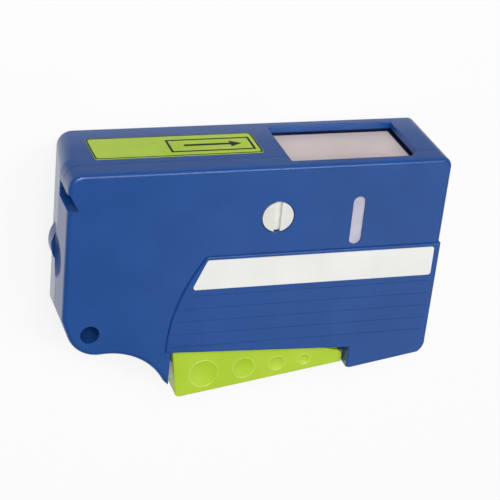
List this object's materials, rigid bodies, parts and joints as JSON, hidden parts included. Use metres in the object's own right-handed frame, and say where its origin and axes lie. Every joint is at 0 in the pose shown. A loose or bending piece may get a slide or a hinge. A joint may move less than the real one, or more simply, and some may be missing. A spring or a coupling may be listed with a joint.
{
  "type": "fibre optic cleaning cassette",
  "caption": "Hand-held cassette that wipes fibre connector ends on a reel-fed cloth tape behind a sliding shutter opened by a squeeze lever.",
  "frame": {"origin": "centre of the bounding box in plan, on the back face it lies on", "axes": "+X along the top edge towards the shutter's end, +Y to the top face with the shutter, +Z out of the front face"},
  "size_m": [0.116, 0.0775, 0.0327],
  "materials": {
    "case_plastic": "satin moulded blue",
    "lever_plastic": "satin moulded lime",
    "gear_plastic": "plain moulded white",
    "reel_plastic": "plain moulded pale grey",
    "shutter_plastic": "satin warm grey",
    "slide_plastic": "plain moulded dark blue",
    "window_plastic": "milky pale lilac",
    "pin_steel": "drawn steel",
    "tape_cloth": "fine white wiping cloth",
    "felt": "grey felt",
    "pad_foam": "soft black foam",
    "strip_film": "off-white film",
    "label_film": "lime printed film"
  },
  "bodies": {
    "case": {"back_shell": "case_plastic", "front_cover": "case_plastic", "slot_window": "window_plastic", "mid_plate": "reel_plastic", "plate_screws": "pin_steel", "lever_pin": "pin_steel", "lever_spring": "pin_steel", "check_pawl": "gear_plastic", "brake_felt": "felt", "guide_pins": "pin_steel", "cleaning_tape": "tape_cloth", "cleaning_pad": "pad_foam", "pad_holder": "reel_plastic", "front_strip": "strip_film", "top_label": "label_film"},
    "lever": {"lever": "lever_plastic", "drive_sector": "gear_plastic"},
    "drive": {"drive_gear": "gear_plastic", "drive_pawl": "gear_plastic"},
    "arm": {"shutter_arm": "gear_plastic"},
    "shutter": {"shutter": "slide_plastic", "shutter_panel": "shutter_plastic"},
    "spindle": {"take_up_spindle": "gear_plastic", "ratchet_wheel": "gear_plastic", "take_up_pinion": "gear_plastic"},
    "take_up": {"take_up_reel": "reel_plastic", "take_up_ring": "gear_plastic", "take_up_roll": "tape_cloth"},
    "supply": {"supply_reel": "reel_plastic", "supply_roll": "tape_cloth"},
    "roller_left": {"guide_roller_left": "reel_plastic"},
    "roller_right": {"guide_roller_right": "reel_plastic"}
  },
  "joints": [
    {"name": "lever_squeeze", "type": "hinge", "parent": "case", "child": "lever", "pos_m": [0.02935, -0.0287, 0.015], "axis": [0, 0, -1], "range_deg": [0, 11], "stiffness_Nm_per_rad": 0.4, "springref_deg": -5.73, "deforming": ["lever_spring"]},
    {"name": "drive_turn", "type": "hinge", "parent": "case", "child": "drive", "pos_m": [0.00475, 0.0224, 0.005], "axis": [0, 0, 1], "range_deg": [0, 67.5]},
    {"name": "arm_swing", "type": "hinge", "parent": "case", "child": "arm", "pos_m": [0.00335, -0.00617, 0.0035], "axis": [0, 0, 1], "range_deg": [0, 56.7]},
    {"name": "shutter_slide", "type": "slide", "parent": "case", "child": "shutter", "axis": [-1, 0, 0], "range_m": [0, 0.0361]},
    {"name": "spindle_turn", "type": "hinge", "parent": "case", "child": "spindle", "pos_m": [0.00475, 0.0224, 0.015], "axis": [0, 0, -1], "continuous": true},
    {"name": "take_up_turn", "type": "hinge", "parent": "case", "child": "take_up", "pos_m": [-0.02745, 0.00745, 0.018], "axis": [0, 0, 1], "continuous": true},
    {"name": "supply_turn", "type": "hinge", "parent": "case", "child": "supply", "pos_m": [0.02975, 0.0057, 0.018], "axis": [0, 0, 1], "continuous": true},
    {"name": "roller_left_turn", "type": "hinge", "parent": "case", "child": "roller_left", "pos_m": [-0.01045, 0.0306, 0.018], "axis": [0, 0, 1], "continuous": true},
    {"name": "roller_right_turn", "type": "hinge", "parent": "case", "child": "roller_right", "pos_m": [0.05165, 0.0306, 0.018], "axis": [0, 0, 1], "continuous": true}
  ],
  "couplings": [
    {"joint": "drive_turn", "follows": "lever_squeeze", "ratio": 6.125},
    {"joint": "arm_swing", "follows": "lever_squeeze", "ratio": 5.1429},
    {"joint": "shutter_slide", "follows": "lever_squeeze", "m_per_rad": 0.18746},
    {"joint": "take_up_turn", "follows": "supply_turn", "ratio": 1.6829},
    {"joint": "spindle_turn", "follows": "supply_turn", "ratio": 3.5122},
    {"joint": "roller_left_turn", "follows": "supply_turn", "ratio": 8.078},
    {"joint": "roller_right_turn", "follows": "supply_turn", "ratio": 8.078}
  ]
}
